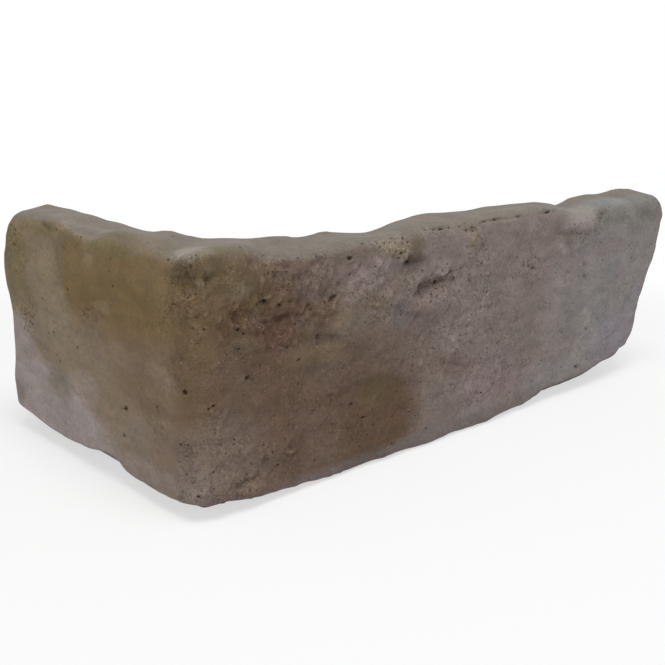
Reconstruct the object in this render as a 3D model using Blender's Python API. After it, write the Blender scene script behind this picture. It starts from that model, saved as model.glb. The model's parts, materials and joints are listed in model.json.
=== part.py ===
"""Corner cladding tile of cast concrete, in the form of an old handmade brick.

The tile is an L in plan and stands on its bed edge. The long leg runs along +X and the short leg
along +Y, so the two moulded faces look towards -Y and -X, and the two flat backs, which are bonded
to the corner of a wall, look towards +Y and +X.

It is modelled as a straight bar, as long as both legs together, that is sliced into small cells.
The bar is folded at its mitre, and its skin is pressed to the soft arrises, wavy edges, crags and
hollows that the mould leaves. A bar point has a run (distance from the outer corner, negative on the
short leg), a depth (from the moulded face towards the back) and a rise (from the bed).
"""

import math
from dataclasses import dataclass

import bmesh
import bpy
from mathutils import Matrix, Vector, noise

# Overall sizes of the tile, in metres
LONG_LEG = 0.215
SHORT_LEG = 0.099
HEIGHT = 0.066
THICKNESS = 0.016

# Rounding of the moulded edges: how far each starts back from the edge that it softens
TOP_ARRIS = 0.0045
BED_ARRIS = 0.0025
END_ROUNDING = 0.0038
CORNER_RADIUS = 0.0065

# Largest cells of the skin, in general and among the crags, and the number of cells in each half of
# a rounded edge
CELL = 0.0034
CRAG_CELL = 0.0025
ARRIS_CELLS = 2

# Share of the thickness, from the moulded face, over which the wavy bed edge runs out to the flat bed
BED_STARTS = 0.10
BED_FLAT = 0.55

# Slow unevenness of the moulded faces and the ends, and the finer unevenness of the faces and of
# their top and bottom edges: each has a height, a distance between its lumps and a seed
FACE_SWELL = 0.0011
FACE_SWELL_LENGTH = 0.034
FACE_SWELL_SEED = 3.7
FACE_LUMP = 0.00055
FACE_LUMP_LENGTH = 0.011
FACE_LUMP_SEED = 8.2
EDGE_LUMP = 0.0005
EDGE_LUMP_LENGTH = 0.009
TOP_LUMP_SEED = 5.1
BED_LUMP_SEED = 1.4
END_SWELL = 0.0007
END_SWELL_LENGTH = 0.020
END_SWELL_SEED = 2.0

# The long leg's face is craggy next to the outer corner, from this share of its height up to its top
# arris and as far as this share of the leg. The crags rise from the plain face over a further share.
CRAG = 0.0011
CRAG_LENGTH = 0.0062
CRAG_SEED = 6.3
CRAGS_FOOT = 0.54
CRAGS_TOP = 0.95
CRAGS_END = 0.48
CRAGS_FADE = 0.12

# How far out the slope of a hollow or boss runs, for a half width of 1
MARK_RIM = 1.6

# Faces that meet at more than this angle, in degrees, keep a sharp edge in the shading
SHARP_ANGLE = 40.0

# The finish of the concrete
CONCRETE_COLOUR = (0.165, 0.127, 0.100, 1.0)
CONCRETE_ROUGHNESS = 0.85

# Each line below follows one edge of the moulded skin. Its points are (share of the leg from the
# outer corner, metres), and the curve through them is smooth.

# Height of the lower front edge above the bed
LONG_BED_EDGE = (
    (0.00, 0.0043), (0.08, 0.0024), (0.16, 0.0008), (0.22, 0.0001), (0.26, 0.0000), (0.56, 0.0000),
    (0.61, 0.0008), (0.67, 0.0010), (0.73, 0.0037), (0.78, 0.0046), (0.85, 0.0051), (0.89, 0.0066),
    (0.93, 0.0077), (1.00, 0.0096),
)
SHORT_BED_EDGE = (
    (0.00, 0.0043), (0.08, 0.0034), (0.28, 0.0031), (0.33, 0.0035), (0.38, 0.0052), (0.46, 0.0058),
    (0.56, 0.0041), (0.72, 0.0035), (0.84, 0.0048), (1.00, 0.0062),
)

# Drop of the upper front edge, and of the upper back edge, below the full height
LONG_TOP_FRONT = (
    (0.00, 0.0014), (0.06, 0.0012), (0.09, 0.0040), (0.17, 0.0048), (0.24, 0.0034), (0.29, 0.0032),
    (0.38, 0.0015), (0.42, 0.0025), (0.46, 0.0012), (0.67, 0.0005), (0.72, 0.0029), (0.78, 0.0028),
    (0.81, 0.0015), (0.89, 0.0028), (0.96, 0.0015), (1.00, 0.0015),
)
LONG_TOP_BACK = (
    (0.00, 0.0013), (0.07, 0.0022), (0.16, 0.0031), (0.20, 0.0031), (0.27, 0.0046), (0.34, 0.0017),
    (0.43, 0.0011), (0.49, 0.0013), (0.60, 0.0008), (0.68, 0.0012), (0.72, 0.0026), (0.75, 0.0023),
    (0.78, 0.0010), (0.87, 0.0001), (0.95, -0.0003), (1.00, -0.0002),
)
SHORT_TOP_FRONT = (
    (0.00, 0.0014), (0.08, 0.0026), (0.17, 0.0010), (0.36, 0.0008), (0.46, 0.0018), (0.55, 0.0017),
    (0.66, 0.0000), (0.76, 0.0000), (0.90, 0.0016), (1.00, 0.0024),
)
SHORT_TOP_BACK = (
    (0.00, 0.0013), (0.12, 0.0014), (0.18, 0.0011), (0.28, 0.0021), (0.39, 0.0021), (0.60, 0.0014),
    (0.85, 0.0005), (1.00, 0.0004),
)

# How far each end stands back from the full leg, as (share of the height, metres)
LONG_END = (
    (0.00, 0.0190), (0.05, 0.0175), (0.12, 0.0144), (0.24, 0.0140), (0.33, 0.0128), (0.42, 0.0095),
    (0.53, 0.0070), (0.63, 0.0042), (0.74, 0.0030), (0.82, 0.0016), (0.90, 0.0000), (1.00, 0.0000),
)
SHORT_END = (
    (0.00, 0.0056), (0.10, 0.0050), (0.15, 0.0041), (0.24, 0.0053), (0.34, 0.0061), (0.46, 0.0060),
    (0.55, 0.0043), (0.63, 0.0025), (0.72, 0.0006), (0.79, 0.0012), (0.84, 0.0025), (0.91, 0.0005),
    (1.00, 0.0002),
)

# The upper front corner of each end is worn back by this much, from this share of the height
LONG_CORNER_WEAR = 0.0045
LONG_WEAR_STARTS = 0.86
SHORT_CORNER_WEAR = 0.0075
SHORT_WEAR_STARTS = 0.80

# The underside of the long leg's end lifts off the bed over its whole thickness, from this share
# of the leg to its end
LIFT_STARTS = 0.86
LIFT_AT_END = 0.0040

# Hollows (positive depth) and bosses (negative depth) of the moulded faces:
# (share of the leg, share of the height, half width, half height, slant in degrees, depth)
LONG_MARKS = (
    (0.025, 0.930, 0.0050, 0.0060, 0, 0.0014),
    (0.140, 0.850, 0.0180, 0.0040, 0, 0.0010),
    (0.056, 0.830, 0.0058, 0.0034, 5, -0.0013),
    (0.085, 0.790, 0.0028, 0.0048, 0, 0.0010),
    (0.055, 0.727, 0.0026, 0.0040, 0, 0.0009),
    (0.119, 0.820, 0.0052, 0.0032, -8, -0.0009),
    (0.158, 0.795, 0.0042, 0.0032, 0, -0.0007),
    (0.130, 0.718, 0.0090, 0.0025, 7, 0.0013),
    (0.110, 0.640, 0.0080, 0.0042, 8, -0.0008),
    (0.200, 0.750, 0.0040, 0.0024, 20, 0.0008),
    (0.182, 0.624, 0.0062, 0.0026, -18, 0.0013),
    (0.217, 0.668, 0.0042, 0.0052, -15, -0.0015),
    (0.236, 0.752, 0.0062, 0.0032, 10, -0.0009),
    (0.232, 0.894, 0.0055, 0.0028, 12, 0.0009),
    (0.270, 0.840, 0.0058, 0.0042, 0, -0.0009),
    (0.305, 0.912, 0.0060, 0.0030, -12, -0.0011),
    (0.340, 0.842, 0.0050, 0.0027, -6, 0.0024),
    (0.300, 0.727, 0.0056, 0.0038, 10, -0.0010),
    (0.300, 0.600, 0.0090, 0.0060, -30, -0.0009),
    (0.365, 0.720, 0.0034, 0.0028, 20, 0.0017),
    (0.402, 0.750, 0.0072, 0.0024, 15, 0.0017),
    (0.400, 0.675, 0.0080, 0.0030, 5, -0.0008),
    (0.454, 0.888, 0.0042, 0.0029, 20, -0.0009),
    (0.195, 0.555, 0.0060, 0.0022, -8, -0.0006),
    (0.225, 0.520, 0.0080, 0.0048, 0, 0.0008),
    (0.420, 0.480, 0.0120, 0.0100, 0, 0.0009),
    (0.428, 0.432, 0.0060, 0.0024, -35, -0.0008),
    (0.700, 0.848, 0.0090, 0.0026, -4, 0.0017),
    (0.730, 0.912, 0.0085, 0.0034, 4, -0.0010),
    (0.750, 0.609, 0.0052, 0.0026, -30, 0.0006),
    (0.705, 0.450, 0.0045, 0.0230, 4, -0.0010),
    (0.800, 0.500, 0.0110, 0.0250, 6, 0.0007),
    (0.150, 0.170, 0.0170, 0.0045, 12, 0.0009),
    (0.030, 0.150, 0.0060, 0.0080, 0, 0.0013),
    (0.285, 0.333, 0.0065, 0.0050, 0, 0.0006),
    (0.550, 0.300, 0.0200, 0.0120, 0, 0.0007),
)
SHORT_MARKS = (
    (0.030, 0.880, 0.0040, 0.0090, 0, 0.0012),
    (0.350, 0.500, 0.0170, 0.0180, 0, 0.0006),
    (0.720, 0.620, 0.0055, 0.0200, -22, -0.0008),
    (0.800, 0.520, 0.0050, 0.0045, 0, -0.0005),
    (0.880, 0.380, 0.0060, 0.0150, -15, 0.0008),
    (0.480, 0.160, 0.0120, 0.0060, 0, -0.0006),
)


@dataclass(frozen=True)
class Leg:
    """One leg of the tile. Its side is 1 where its run counts up from the outer corner, -1 if down."""

    side: int
    length: float
    bed_edge: tuple
    top_front: tuple
    top_back: tuple
    end: tuple
    corner_wear: float
    wear_starts: float
    lift_at_end: float
    crags_end: float
    marks: tuple


LONG = Leg(
    side=1,
    length=LONG_LEG,
    bed_edge=LONG_BED_EDGE,
    top_front=LONG_TOP_FRONT,
    top_back=LONG_TOP_BACK,
    end=LONG_END,
    corner_wear=LONG_CORNER_WEAR,
    wear_starts=LONG_WEAR_STARTS,
    lift_at_end=LIFT_AT_END,
    crags_end=CRAGS_END,
    marks=LONG_MARKS,
)
SHORT = Leg(
    side=-1,
    length=SHORT_LEG,
    bed_edge=SHORT_BED_EDGE,
    top_front=SHORT_TOP_FRONT,
    top_back=SHORT_TOP_BACK,
    end=SHORT_END,
    corner_wear=SHORT_CORNER_WEAR,
    wear_starts=SHORT_WEAR_STARTS,
    lift_at_end=0.0,
    crags_end=0.0,
    marks=SHORT_MARKS,
)


def smooth_step(low, high, value):
    """0 up to low, 1 from high, and a soft rise between them."""
    share = min(1.0, max(0.0, (value - low) / (high - low)))
    return share * share * (3.0 - 2.0 * share)


def slope_at(line, index):
    """The slope of a line at one of its points, taken from the points on either side."""
    before = line[max(index - 1, 0)]
    after = line[min(index + 1, len(line) - 1)]
    return (after[1] - before[1]) / (after[0] - before[0])


def along_line(line, share):
    """The value of a line at a share of its length, on a smooth curve through its points."""
    share = min(max(share, line[0][0]), line[-1][0])
    index = max(n for n in range(len(line) - 1) if line[n][0] <= share)
    (start, low), (end, high) = line[index], line[index + 1]
    width = end - start
    place = (share - start) / width
    leaving = slope_at(line, index) * width
    arriving = slope_at(line, index + 1) * width
    rise = place * place * (3.0 - 2.0 * place)
    return (
        low + (high - low) * rise
        + leaving * place * (1.0 - place) ** 2
        - arriving * place * place * (1.0 - place)
    )


def unevenness(along, across, length, seed):
    """Smooth noise between about -1 and 1 whose lumps are about one length apart."""
    point = Vector((along / length, across / length, seed))
    return noise.noise(point, noise_basis="PERLIN_ORIGINAL")


def edge_cuts(rounding):
    """Distances from an edge at which its rounding is cut, so that the cells turn by equal angles."""
    return [rounding * (1.0 - math.tan(math.radians(45.0 * n / ARRIS_CELLS))) for n in range(ARRIS_CELLS)]


def even_cuts(start, end, cell):
    """Places from start up to, but without, end that divide the stretch into cells of equal size."""
    cells = max(1, math.ceil((end - start) / cell))
    return [start + (end - start) * n / cells for n in range(cells)]


def run_cuts(leg):
    """Cuts across one leg: finer round the outer corner, along the crags and at the rounded end."""
    corner = [CORNER_RADIUS - distance for distance in edge_cuts(CORNER_RADIUS)]
    crags_end = max(CORNER_RADIUS, leg.crags_end * leg.length)
    crags = even_cuts(CORNER_RADIUS, crags_end, CRAG_CELL)
    plain = even_cuts(crags_end, leg.length - END_ROUNDING, CELL)
    end = [leg.length - distance for distance in edge_cuts(END_ROUNDING)]
    return corner + crags + plain + end


def sliced_bar():
    """The straight bar in bar space, cut into cells along its run, its rise and its depth."""
    bar = bmesh.new()
    bmesh.ops.create_cube(bar, size=1.0)
    length = LONG.length + SHORT.length
    bmesh.ops.scale(bar, vec=(length, THICKNESS, HEIGHT), verts=bar.verts)
    middle = Vector(((LONG.length - SHORT.length) / 2.0, THICKNESS / 2.0, HEIGHT / 2.0))
    bmesh.ops.translate(bar, vec=middle, verts=bar.verts)

    runs = run_cuts(LONG) + [-place for place in run_cuts(SHORT)]
    crags_foot = CRAGS_FOOT * HEIGHT
    rises = edge_cuts(BED_ARRIS) + even_cuts(BED_ARRIS, crags_foot, CELL)
    rises += even_cuts(crags_foot, HEIGHT - TOP_ARRIS, CRAG_CELL)
    rises += [HEIGHT - place for place in edge_cuts(TOP_ARRIS)]
    deeper = max(TOP_ARRIS, BED_ARRIS)
    depths = edge_cuts(min(TOP_ARRIS, BED_ARRIS)) + edge_cuts(deeper) + even_cuts(deeper, THICKNESS, CELL)

    for axis, places in ((0, runs), (2, rises), (1, depths)):
        normal = Vector((0.0, 0.0, 0.0))
        normal[axis] = 1.0
        for place in places:
            everything = bar.verts[:] + bar.edges[:] + bar.faces[:]
            bmesh.ops.bisect_plane(bar, geom=everything, dist=1e-7, plane_co=normal * place, plane_no=normal)
    return bar


def softened(run, depth, rise, leg):
    """A point of the bar's skin moved onto its rounded front edges. The back edges stay sharp."""
    arris = BED_ARRIS + (TOP_ARRIS - BED_ARRIS) * smooth_step(0.0, HEIGHT, rise)
    point = Vector((run, depth, rise))
    core = Vector((
        min(run, leg.length - END_ROUNDING),
        max(depth, arris),
        min(max(rise, BED_ARRIS), HEIGHT - TOP_ARRIS),
    ))
    offset = point - core
    vertical = TOP_ARRIS if offset.z > 0.0 else BED_ARRIS
    stretch = Vector((offset.x / END_ROUNDING, offset.y / arris, offset.z / vertical)).length
    return core + offset / stretch if stretch > 1.0 else point


def face_mark(mark, leg, run, rise):
    """Depth that one hollow or boss adds at a point of the moulded face."""
    run_share, rise_share, half_width, half_height, slant, depth = mark
    away = Vector((run - run_share * leg.length, rise - rise_share * HEIGHT))
    away.rotate(Matrix.Rotation(-math.radians(slant), 2))
    distance = Vector((away.x / half_width, away.y / half_height)).length
    return depth * (1.0 - smooth_step(0.0, MARK_RIM, distance))


def cragginess(leg, run, rise):
    """How craggy the moulded face is at a point: 0 outside the crags and 1 well inside them."""
    run_share = run / leg.length
    rise_share = rise / HEIGHT
    along = 1.0 - smooth_step(leg.crags_end - CRAGS_FADE, leg.crags_end, run_share)
    above_foot = smooth_step(CRAGS_FOOT, CRAGS_FOOT + CRAGS_FADE, rise_share)
    below_top = 1.0 - smooth_step(CRAGS_TOP - CRAGS_FADE, CRAGS_TOP, rise_share)
    return along * above_foot * below_top


def relief(leg, run, rise):
    """How far the moulded face lies behind its plane at a point."""
    signed_run = leg.side * run
    swell = FACE_SWELL * unevenness(signed_run, rise, FACE_SWELL_LENGTH, FACE_SWELL_SEED)
    lump = FACE_LUMP * unevenness(signed_run, rise, FACE_LUMP_LENGTH, FACE_LUMP_SEED)
    marks = sum(face_mark(mark, leg, run, rise) for mark in leg.marks)
    crags = CRAG * cragginess(leg, run, rise) * unevenness(run, rise, CRAG_LENGTH, CRAG_SEED)
    # Marks and crags of one leg fade out towards the mitre, where both legs share their points
    return swell + lump + (marks + crags) * smooth_step(0.0, CORNER_RADIUS, run)


def wavy_rise(leg, run, depth, rise):
    """The rise of a point once the bed and the top follow the wavy edges."""
    signed_run = leg.side * run
    share = run / leg.length
    inward = depth / THICKNESS
    top_lump = EDGE_LUMP * unevenness(signed_run, depth, EDGE_LUMP_LENGTH, TOP_LUMP_SEED)
    drop = along_line(leg.top_front, share) * (1.0 - inward) + along_line(leg.top_back, share) * inward
    top = HEIGHT - drop + top_lump
    bed_lump = EDGE_LUMP * unevenness(signed_run, depth, EDGE_LUMP_LENGTH, BED_LUMP_SEED)
    worn = 1.0 - smooth_step(BED_STARTS, BED_FLAT, inward)
    bottom = (max(0.0, along_line(leg.bed_edge, share)) + max(0.0, bed_lump)) * worn
    bottom = max(bottom, leg.lift_at_end * smooth_step(LIFT_STARTS, 1.0, share))
    return bottom + (top - bottom) * rise / HEIGHT


def end_setback(leg, depth, rise):
    """How far the end of a leg stands back from its full length at a point."""
    rise_share = rise / HEIGHT
    to_front = 1.0 - depth / THICKNESS
    worn = leg.corner_wear * smooth_step(leg.wear_starts, 1.0, rise_share) * to_front
    swell = END_SWELL * (0.5 + unevenness(depth, rise, END_SWELL_LENGTH, END_SWELL_SEED + leg.side))
    return along_line(leg.end, rise_share) + worn + swell


def rounded_corner(x, y):
    """A plan point near the outer corner moved from nested squares onto nested arcs."""
    across = Vector((min(0.0, x - CORNER_RADIUS), min(0.0, y - CORNER_RADIUS)))
    if across.x == 0.0 or across.y == 0.0:
        return x, y
    reach = max(-across.x, -across.y) / across.length
    return CORNER_RADIUS + across.x * reach, CORNER_RADIUS + across.y * reach


def folded(point):
    """The place in the finished tile of a point of the straight bar."""
    leg = LONG if point.x >= 0.0 else SHORT
    run, depth, rise = softened(abs(point.x), point.y, point.z, leg)
    depth += relief(leg, run, rise) * (1.0 - depth / THICKNESS)
    along = depth + run * (leg.length - end_setback(leg, depth, rise) - depth) / leg.length
    height = wavy_rise(leg, run, depth, rise)
    x, y = rounded_corner(along, depth) if leg is LONG else rounded_corner(depth, along)
    return Vector((x, y, height))


def concrete():
    """Matt grey-brown concrete."""
    material = bpy.data.materials.new("concrete")
    material.use_nodes = True
    shader = material.node_tree.nodes["Principled BSDF"]
    shader.inputs["Base Color"].default_value = CONCRETE_COLOUR
    shader.inputs["Roughness"].default_value = CONCRETE_ROUGHNESS
    shader.inputs["Metallic"].default_value = 0.0
    return material


def corner_tile():
    """The finished tile, with the middle of its bed at the origin."""
    skin = sliced_bar()
    for vertex in skin.verts:
        vertex.co = folded(vertex.co)
    xs = [vertex.co.x for vertex in skin.verts]
    ys = [vertex.co.y for vertex in skin.verts]
    zs = [vertex.co.z for vertex in skin.verts]
    middle = Vector(((min(xs) + max(xs)) / 2.0, (min(ys) + max(ys)) / 2.0, min(zs)))
    bmesh.ops.translate(skin, vec=-middle, verts=skin.verts)
    bmesh.ops.recalc_face_normals(skin, faces=skin.faces)

    mesh = bpy.data.meshes.new("corner_tile")
    skin.to_mesh(mesh)
    skin.free()
    mesh.shade_smooth()
    mesh.set_sharp_from_angle(angle=math.radians(SHARP_ANGLE))
    mesh.materials.append(concrete())
    tile = bpy.data.objects.new("corner_tile", mesh)
    bpy.context.scene.collection.objects.link(tile)
    return tile


def main():
    for leftover in list(bpy.data.objects):
        bpy.data.objects.remove(leftover, do_unlink=True)
    corner_tile()


main()
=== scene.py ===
import json
import math

import bmesh
import bpy
import numpy as np
from mathutils import Matrix, Vector, noise
from mathutils.bvhtree import BVHTree


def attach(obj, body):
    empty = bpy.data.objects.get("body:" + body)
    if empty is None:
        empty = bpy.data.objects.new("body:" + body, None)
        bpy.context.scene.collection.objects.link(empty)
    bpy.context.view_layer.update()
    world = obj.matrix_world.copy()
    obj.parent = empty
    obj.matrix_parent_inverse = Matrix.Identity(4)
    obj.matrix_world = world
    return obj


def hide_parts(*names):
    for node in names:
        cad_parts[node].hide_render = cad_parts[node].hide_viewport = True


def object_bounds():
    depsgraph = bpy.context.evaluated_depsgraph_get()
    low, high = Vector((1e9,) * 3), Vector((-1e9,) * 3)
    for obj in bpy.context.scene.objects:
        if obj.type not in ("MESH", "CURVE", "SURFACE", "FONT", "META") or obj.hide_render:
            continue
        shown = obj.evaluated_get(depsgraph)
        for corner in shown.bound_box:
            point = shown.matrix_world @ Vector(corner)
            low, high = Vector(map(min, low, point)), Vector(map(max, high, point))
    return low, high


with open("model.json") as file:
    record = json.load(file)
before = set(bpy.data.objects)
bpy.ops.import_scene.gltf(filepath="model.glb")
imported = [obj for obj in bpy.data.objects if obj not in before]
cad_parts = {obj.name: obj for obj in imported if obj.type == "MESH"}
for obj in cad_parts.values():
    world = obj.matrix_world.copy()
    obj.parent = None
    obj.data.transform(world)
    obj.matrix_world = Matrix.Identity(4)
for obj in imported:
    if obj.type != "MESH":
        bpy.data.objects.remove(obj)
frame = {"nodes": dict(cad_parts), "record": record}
cad_low, cad_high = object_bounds()

# The tile is one casting of pigmented concrete, poured into a rubber mould that was taken from an old
# handmade brick. Its faces, top, bed and ends keep the brick's lumps, spalls and air pits, and its
# two backs, which are bonded to the corner of a wall, were struck off flat with a float.

MM = 0.001

# The outer corner is found from the middles of the two backs and the thickness in millimetres
THICKNESS = 16.0
mounts = {mount["name"]: Vector(mount["pos_m"]) for mount in frame["record"]["mounts"]}
outer_corner = Vector((mounts["back_short"].x, mounts["back_long"].y, 0.0))
outer_corner -= Vector((THICKNESS, THICKNESS, 0.0)) * MM

# The skin starts as an even mesh of the CAD solid. Its cells are halved on the moulded side, and
# halved once more where the skin is coarser than CLOSE_UP or pitted.
CELL = 1.5
CLOSE_UP = 0.3
MERGE_DISTANCE = 0.001
SMOOTHING_PASSES = 2
SMOOTHING = 0.5

tile = bpy.data.objects.new("cast_tile", bpy.data.meshes.new("cast_tile"))
bpy.context.scene.collection.objects.link(tile)
skin = bmesh.new()
skin.from_mesh(frame["nodes"]["corner_tile"].data)
bmesh.ops.remove_doubles(skin, verts=skin.verts, dist=MERGE_DISTANCE * MM)
cad_surface = BVHTree.FromBMesh(skin)
skin.to_mesh(tile.data)
skin.free()
even_cells = tile.modifiers.new("even_cells", "REMESH")
even_cells.mode = "VOXEL"
even_cells.voxel_size = CELL * MM
skin = bmesh.new()
skin.from_object(tile, bpy.context.evaluated_depsgraph_get())
tile.modifiers.clear()


def from_corner(point):
    """A point in millimetres from the outer corner of the tile, at the level of its bed."""
    return (point - outer_corner) / MM


def is_back(vertex):
    """Whether a vertex lies on one of the two flat backs."""
    place = from_corner(vertex.co)
    return min(place.x, place.y) > THICKNESS - 0.5 * CELL


moulded = [edge for edge in skin.edges if not all(is_back(vertex) for vertex in edge.verts)]
bmesh.ops.subdivide_edges(skin, edges=moulded, cuts=1, use_grid_fill=True)
for vertex in skin.verts:
    vertex.co = cad_surface.find_nearest(vertex.co)[0]
for _ in range(SMOOTHING_PASSES):
    bmesh.ops.smooth_vert(
        skin, verts=skin.verts, factor=SMOOTHING, use_axis_x=True, use_axis_y=True, use_axis_z=True
    )

# Where the skin is coarse, as a spalled brick is: (leg, along the leg from the outer corner, height
# above the bed, half length, half height, slant in degrees, share), in millimetres
LONG, SHORT = "long", "short"
PLAIN_COARSENESS = {LONG: 0.20, SHORT: 0.05}
COARSE_PLACES = (
    (LONG, 24, 51, 28, 12, -4, 1.0),
    (LONG, 60, 53, 15, 10, 0, 0.9),
    (LONG, 62, 44, 12, 5, 0, 0.6),
    (LONG, 84, 47, 12, 6, 5, 1.0),
    (LONG, 83, 31, 12, 10, 0, 0.7),
    (LONG, 98, 54, 8, 10, 0, 0.6),
    (LONG, 104, 32, 22, 22, 0, 0.4),
    (LONG, 129, 48, 8, 5, 0, 0.7),
    (LONG, 154, 54, 11, 5, 0, 0.4),
    (LONG, 12, 8, 12, 5, 0, 0.7),
    (LONG, 25, 12, 8, 6, 0, 0.6),
    (LONG, 9, 19, 8, 9, 0, 0.5),
    (LONG, 105, 15, 20, 8, 5, 0.5),
    (LONG, 48, 11, 8, 7, 0, 0.5),
    (LONG, 47, 26, 8, 8, 0, 0.4),
    (SHORT, 3, 58, 6, 12, 0, 0.8),
    (SHORT, 6, 45, 8, 14, 0, 0.3),
    (SHORT, 80, 36, 7, 6, 0, 0.6),
    (SHORT, 3, 12, 5, 9, 0, 0.6),
    (SHORT, 42, 44, 9, 4, -20, 0.25),
    (SHORT, 16, 24, 10, 7, 0, 0.2),
    (SHORT, 84, 54, 9, 10, 0, 0.3),
)

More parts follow.
